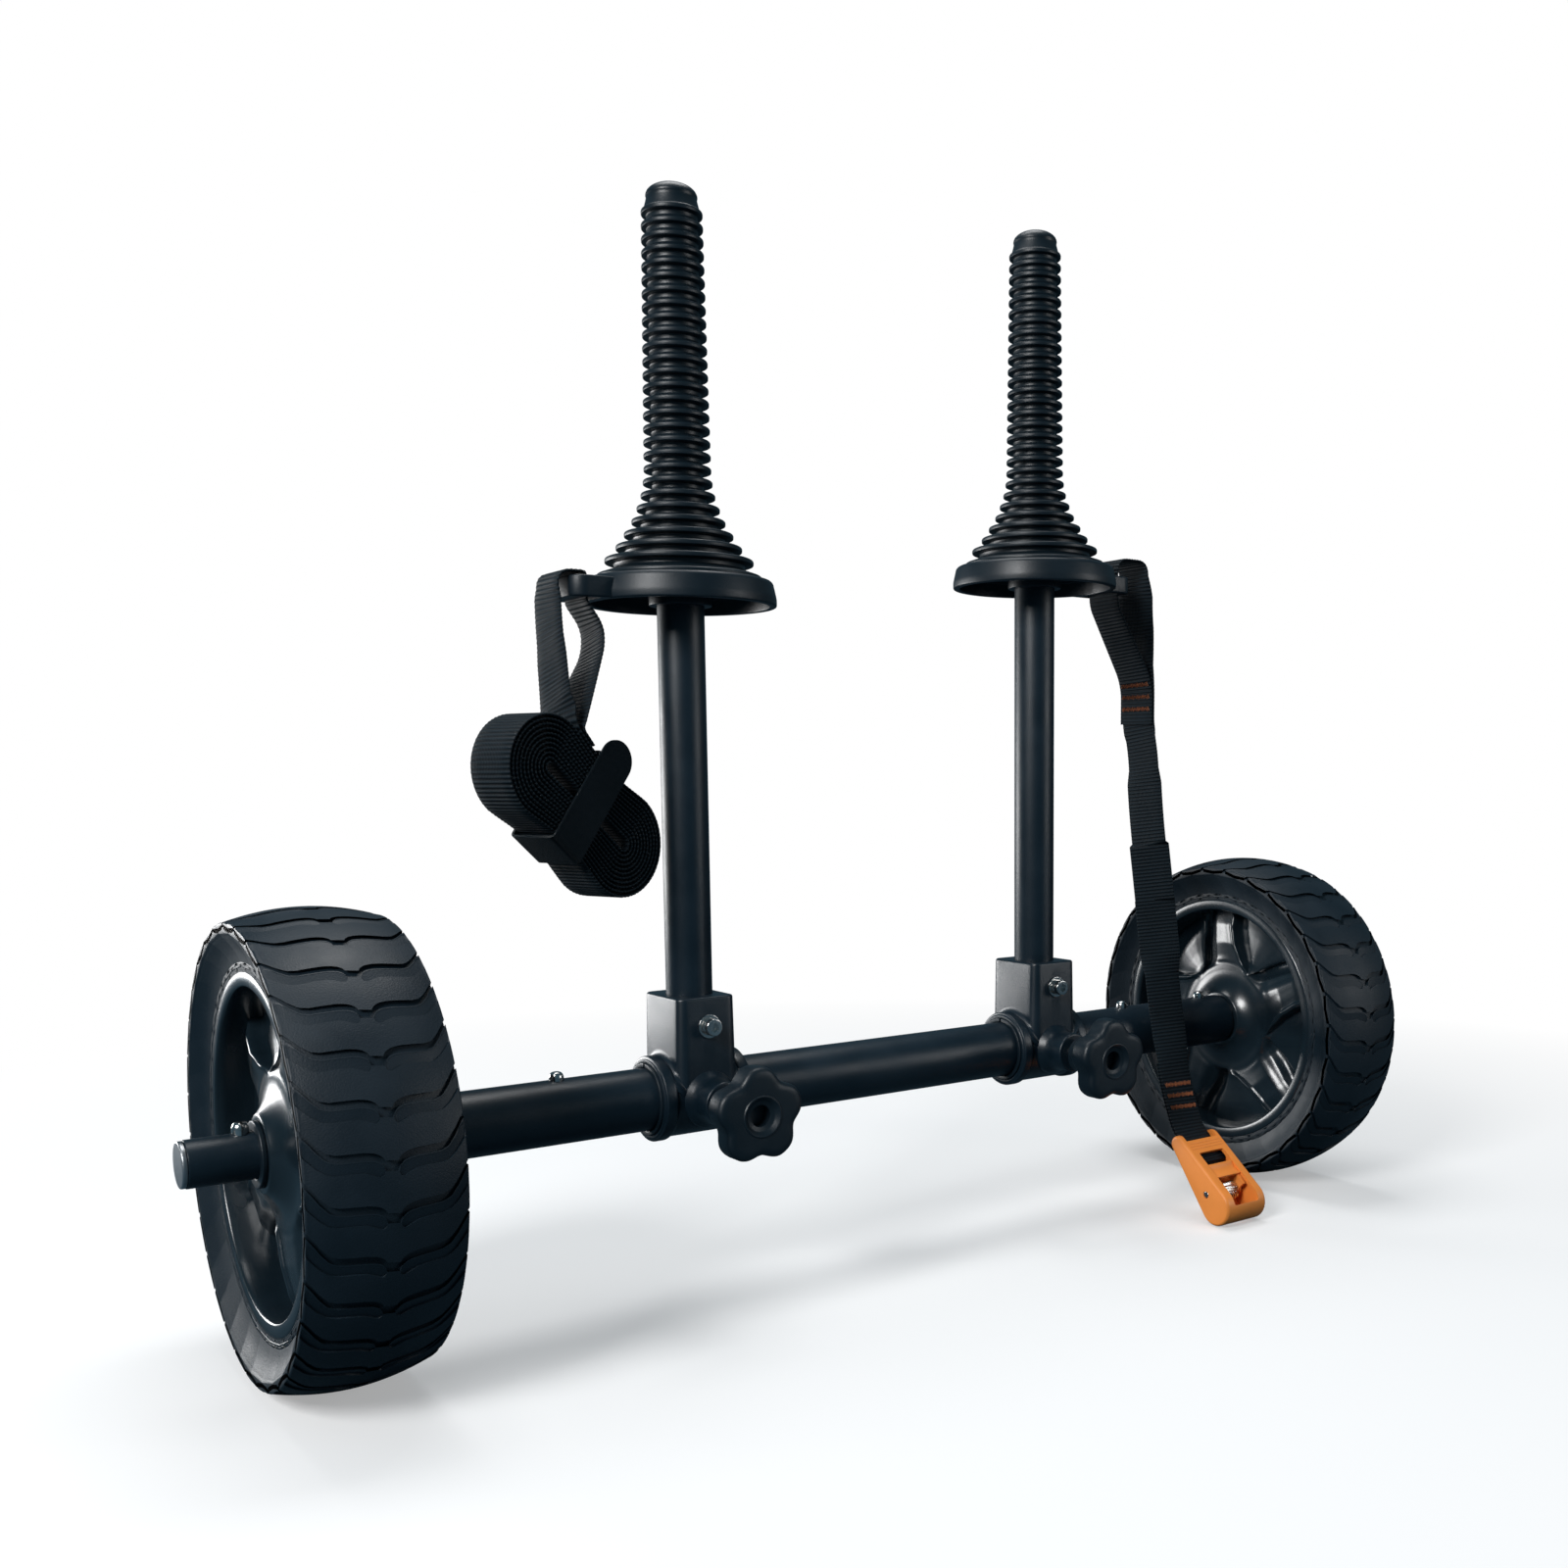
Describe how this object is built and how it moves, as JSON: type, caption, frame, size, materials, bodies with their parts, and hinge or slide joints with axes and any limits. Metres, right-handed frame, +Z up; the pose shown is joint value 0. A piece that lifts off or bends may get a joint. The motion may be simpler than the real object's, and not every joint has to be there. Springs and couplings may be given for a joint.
{
  "type": "kayak cart",
  "caption": "Two-wheel kayak cart with a straight axle, two ribbed scupper posts on sliding knob clamps, tie-down webbing and an orange cam buckle.",
  "frame": {"origin": "on the floor, midway between the wheels, under the axle's centre line", "axes": "+X along the axle, +Z up, -Y the side with the star knobs"},
  "size_m": [0.852, 0.254, 0.69],
  "materials": {
    "black_tube": "satin black coated tube",
    "black_aluminium": "drawn tube, satin black anodised",
    "bare_aluminium": "drawn tube, fine lines",
    "black_plastic": "moulded, fine grain",
    "bright_steel": "bright plated",
    "tyre_rubber": "moulded tread, dull",
    "rim_plastic": "smooth moulded",
    "cast_black": "satin black over a casting",
    "sleeve_rubber": "soft, slightly dusty sheen",
    "webbing": "ribbed polyester webbing",
    "orange_body": "fine orange-peel grain"
  },
  "bodies": {
    "axle": {"axle_tube": "black_tube", "stub_axle_left": "black_aluminium", "stub_axle_right": "black_aluminium", "stub_end_cap_left": "bare_aluminium", "stub_end_cap_right": "bare_aluminium", "stub_bushing_left": "black_plastic", "stub_bushing_right": "black_plastic", "inner_button_spring_left": "bright_steel", "inner_button_spring_right": "bright_steel", "outer_button_spring_left": "bright_steel", "outer_button_spring_right": "bright_steel", "wheel_button_spring_left": "bright_steel", "wheel_button_spring_right": "bright_steel"},
    "wheel_left": {"tyre_left": "tyre_rubber", "rim_left": "rim_plastic", "hub_bush_outer_left": "black_plastic", "hub_bush_inner_left": "black_plastic"},
    "slider_left": {"clamp_bushing_left": "black_plastic"},
    "clamp_left": {"clamp_body_left": "cast_black", "post_bolt_left": "bright_steel", "post_washer_left": "bright_steel", "post_nut_left": "bright_steel", "post_tube_left": "black_tube", "post_core_left": "bare_aluminium", "post_plate_left": "black_plastic", "post_sleeve_left": "sleeve_rubber", "strap_left": "webbing", "strap_tie_left": "webbing"},
    "pad_left": {"pressure_pad_left": "bright_steel"},
    "knob_left": {"star_knob_left": "black_plastic", "knob_stud_left": "bright_steel"},
    "inner_button_left": {"inner_button_left": "bright_steel"},
    "outer_button_left": {"outer_button_left": "bright_steel"},
    "wheel_button_left": {"wheel_button_left": "bright_steel"},
    "wheel_right": {"tyre_right": "tyre_rubber", "rim_right": "rim_plastic", "hub_bush_outer_right": "black_plastic", "hub_bush_inner_right": "black_plastic"},
    "slider_right": {"clamp_bushing_right": "black_plastic"},
    "clamp_right": {"clamp_body_right": "cast_black", "post_bolt_right": "bright_steel", "post_washer_right": "bright_steel", "post_nut_right": "bright_steel", "post_tube_right": "black_tube", "post_core_right": "bare_aluminium", "post_plate_right": "black_plastic", "post_sleeve_right": "sleeve_rubber", "strap_right": "webbing", "buckle_frame": "orange_body", "buckle_pin": "bright_steel", "buckle_spring": "bright_steel"},
    "pad_right": {"pressure_pad_right": "bright_steel"},
    "knob_right": {"star_knob_right": "black_plastic", "knob_stud_right": "bright_steel"},
    "inner_button_right": {"inner_button_right": "bright_steel"},
    "outer_button_right": {"outer_button_right": "bright_steel"},
    "wheel_button_right": {"wheel_button_right": "bright_steel"},
    "lever": {"buckle_lever": "orange_body", "buckle_cam": "bright_steel"}
  },
  "joints": [
    {"name": "wheel_spin_left", "type": "hinge", "parent": "axle", "child": "wheel_left", "pos_m": [-0.359, 0, 0.127], "axis": [1, 0, 0], "continuous": true},
    {"name": "clamp_slide_left", "type": "slide", "parent": "axle", "child": "slider_left", "axis": [-1, 0, 0], "range_m": [-0.078, 0.05]},
    {"name": "post_swing_left", "type": "hinge", "parent": "slider_left", "child": "clamp_left", "pos_m": [-0.138, 0, 0.127], "axis": [1, 0, 0], "range_deg": [-90, 90]},
    {"name": "knob_travel_left", "type": "slide", "parent": "clamp_left", "child": "pad_left", "axis": [0, -1, 0], "range_m": [0, 0.003]},
    {"name": "knob_turn_left", "type": "hinge", "parent": "pad_left", "child": "knob_left", "pos_m": [-0.138, -0.07, 0.127], "axis": [0, -1, 0], "range_deg": [0, 720]},
    {"name": "inner_button_press_left", "type": "slide", "parent": "axle", "child": "inner_button_left", "axis": [0, 0, -1], "range_m": [0, 0.0075], "stiffness_N_per_m": 1200, "springref_m": -0.003, "deforming": ["inner_button_spring_left"]},
    {"name": "outer_button_press_left", "type": "slide", "parent": "axle", "child": "outer_button_left", "axis": [0, 0, -1], "range_m": [0, 0.0075], "stiffness_N_per_m": 1200, "springref_m": -0.003, "deforming": ["outer_button_spring_left"]},
    {"name": "wheel_button_press_left", "type": "slide", "parent": "axle", "child": "wheel_button_left", "axis": [0, 0, -1], "range_m": [0, 0.0075], "stiffness_N_per_m": 1200, "springref_m": -0.003, "deforming": ["wheel_button_spring_left"]},
    {"name": "wheel_spin_right", "type": "hinge", "parent": "axle", "child": "wheel_right", "pos_m": [0.359, 0, 0.127], "axis": [1, 0, 0], "continuous": true},
    {"name": "clamp_slide_right", "type": "slide", "parent": "axle", "child": "slider_right", "axis": [1, 0, 0], "range_m": [-0.078, 0.05]},
    {"name": "post_swing_right", "type": "hinge", "parent": "slider_right", "child": "clamp_right", "pos_m": [0.138, 0, 0.127], "axis": [1, 0, 0], "range_deg": [-90, 90]},
    {"name": "knob_travel_right", "type": "slide", "parent": "clamp_right", "child": "pad_right", "axis": [0, -1, 0], "range_m": [0, 0.003]},
    {"name": "knob_turn_right", "type": "hinge", "parent": "pad_right", "child": "knob_right", "pos_m": [0.138, -0.07, 0.127], "axis": [0, -1, 0], "range_deg": [0, 720]},
    {"name": "inner_button_press_right", "type": "slide", "parent": "axle", "child": "inner_button_right", "axis": [0, 0, -1], "range_m": [0, 0.0075], "stiffness_N_per_m": 1200, "springref_m": -0.003, "deforming": ["inner_button_spring_right"]},
    {"name": "outer_button_press_right", "type": "slide", "parent": "axle", "child": "outer_button_right", "axis": [0, 0, -1], "range_m": [0, 0.0075], "stiffness_N_per_m": 1200, "springref_m": -0.003, "deforming": ["outer_button_spring_right"]},
    {"name": "wheel_button_press_right", "type": "slide", "parent": "axle", "child": "wheel_button_right", "axis": [0, 0, -1], "range_m": [0, 0.0075], "stiffness_N_per_m": 1200, "springref_m": -0.003, "deforming": ["wheel_button_spring_right"]},
    {"name": "lever_press", "type": "hinge", "parent": "clamp_right", "child": "lever", "pos_m": [0.2398, -0.09393, 0.02164], "axis": [-1, 0, 0], "range_deg": [0, 25], "stiffness_Nm_per_rad": 0.08, "springref_deg": -34.38}
  ],
  "couplings": [
    {"joint": "knob_turn_left", "follows": "knob_travel_left", "rad_per_m": 4188.8},
    {"joint": "knob_turn_right", "follows": "knob_travel_right", "rad_per_m": 4188.8}
  ]
}
